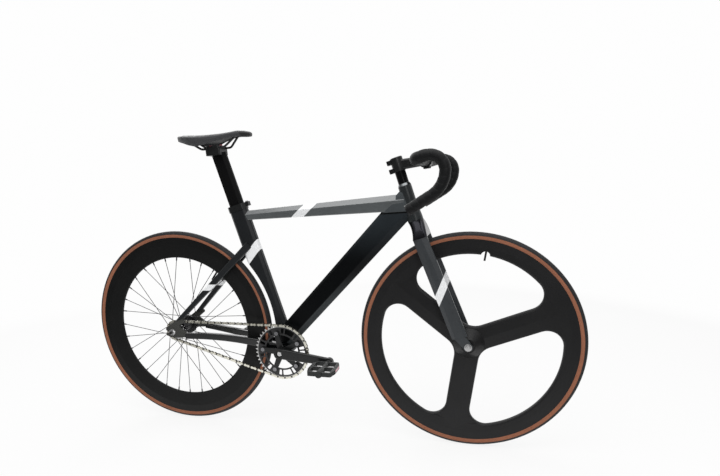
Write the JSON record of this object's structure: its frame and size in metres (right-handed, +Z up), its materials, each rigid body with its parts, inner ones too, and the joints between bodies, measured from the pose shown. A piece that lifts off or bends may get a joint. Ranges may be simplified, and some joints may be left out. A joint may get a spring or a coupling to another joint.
{
  "type": "fixed gear bicycle",
  "caption": "Track bicycle with deep faceted tubes, a hollow three-spoke front wheel, a deep-rim spoked rear wheel, a fixed chain drive and a taped drop handlebar.",
  "frame": {"origin": "on the ground, midway between the two wheel axles, in the bicycle's mid-plane", "axes": "+X forward, +Y to the rider's left, +Z up; the chain drive is on the -Y side"},
  "size_m": [1.652, 0.4024, 0.9908],
  "materials": {
    "satin_black_paint": "satin",
    "grey_paint": "satin",
    "gloss_black_paint": "gloss",
    "black_alloy": "satin",
    "ring_alloy": "satin",
    "steel": "satin",
    "chain_steel": "satin",
    "spoke_steel": "polished",
    "rail_steel": "satin",
    "chrome": "polished",
    "red_bolt": "gloss",
    "black_composite": "satin",
    "black_plastic": "matte",
    "reflector": "gloss",
    "saddle_leather": "matte",
    "bar_tape": "matte",
    "tyre": "matte",
    "butyl": "matte"
  },
  "bodies": {
    "frame": {"head_tube": "satin_black_paint", "top_tube": "grey_paint", "down_tube": "satin_black_paint", "seat_tube": "satin_black_paint", "bottom_bracket_shell": "satin_black_paint", "right_chainstay": "satin_black_paint", "left_chainstay": "satin_black_paint", "seatstays": "satin_black_paint", "track_ends": "satin_black_paint", "headset_bearings": "steel", "bottom_bracket_bearings": "steel", "seat_clamp": "black_alloy", "seat_clamp_bolt": "steel", "rear_axle": "steel", "rear_axle_nuts": "chrome", "chain_inner_links": "chain_steel", "chain_outer_links": "chain_steel"},
    "seatpost_group": {"seatpost": "black_alloy", "saddle_cradle": "black_alloy", "saddle_clamp_plate": "black_alloy", "saddle_clamp_bolts": "red_bolt"},
    "saddle": {"saddle_rails": "rail_steel", "saddle_shell": "black_plastic", "saddle_cover": "saddle_leather"},
    "fork": {"fork_steerer": "gloss_black_paint", "right_fork_blade": "satin_black_paint", "left_fork_blade": "satin_black_paint", "headset_spacers": "black_alloy", "stem": "black_alloy", "stem_faceplate": "black_alloy", "stem_bolts": "steel", "stem_top_cap": "black_alloy", "front_axle": "steel", "front_axle_nuts": "chrome"},
    "drop_bar": {"handlebar": "black_alloy", "bar_tape": "bar_tape", "bar_end_plugs": "black_plastic"},
    "front_wheel_group": {"front_wheel": "black_composite", "front_tyre": "tyre", "front_inner_tube": "butyl", "front_hub_bearings": "steel"},
    "rear_wheel_group": {"rear_rim": "black_alloy", "rear_tyre": "tyre", "rear_inner_tube": "butyl", "rear_hub": "black_alloy", "rear_hub_bearings": "steel", "rear_spokes": "spoke_steel", "rear_cog": "steel", "cog_lockring": "steel"},
    "crankset": {"right_crank": "black_alloy", "left_crank": "black_alloy", "crank_spindle": "steel", "chainring": "ring_alloy", "chainring_bolts": "chrome", "crank_bolts": "chrome", "pedal_spindles": "steel"},
    "right_pedal_group": {"right_pedal": "black_plastic", "right_pedal_reflectors": "reflector"},
    "left_pedal_group": {"left_pedal": "black_plastic", "left_pedal_reflectors": "reflector"}
  },
  "joints": [
    {"name": "steering", "type": "hinge", "parent": "frame", "child": "fork", "pos_m": [0.3139, 0, 0.75651], "axis": [-0.3007, 0, 0.9537], "range_deg": [-75, 75]},
    {"name": "front_wheel_spin", "type": "hinge", "parent": "fork", "child": "front_wheel_group", "pos_m": [0.49, 0, 0.336], "axis": [0, 1, 0], "continuous": true},
    {"name": "rear_wheel_spin", "type": "hinge", "parent": "frame", "child": "rear_wheel_group", "pos_m": [-0.49, 0, 0.336], "axis": [0, 1, 0], "continuous": true, "deforming": ["chain_inner_links", "chain_outer_links"]},
    {"name": "crank_spin", "type": "hinge", "parent": "frame", "child": "crankset", "pos_m": [-0.10419, 0, 0.282], "axis": [0, 1, 0], "continuous": true, "deforming": ["chain_inner_links", "chain_outer_links"]},
    {"name": "right_pedal_spin", "type": "hinge", "parent": "crankset", "child": "right_pedal_group", "pos_m": [0.06254, -0.12, 0.26595], "axis": [0, 1, 0], "continuous": true},
    {"name": "left_pedal_spin", "type": "hinge", "parent": "crankset", "child": "left_pedal_group", "pos_m": [-0.27092, 0.12, 0.29805], "axis": [0, 1, 0], "continuous": true},
    {"name": "seatpost_slide", "type": "slide", "parent": "frame", "child": "seatpost_group", "axis": [-0.2957, 0, 0.9553], "range_m": [-0.025, 0.04]},
    {"name": "saddle_slide", "type": "slide", "parent": "seatpost_group", "child": "saddle", "axis": [0.9976, 0, 0.0698], "range_m": [-0.008, 0.008]},
    {"name": "handlebar_tilt", "type": "hinge", "parent": "fork", "child": "drop_bar", "pos_m": [0.36017, 0, 0.87847], "axis": [0, 1, 0], "range_deg": [-12, 12]}
  ],
  "couplings": [
    {"joint": "crank_spin", "follows": "rear_wheel_spin", "ratio": 0.36364}
  ]
}
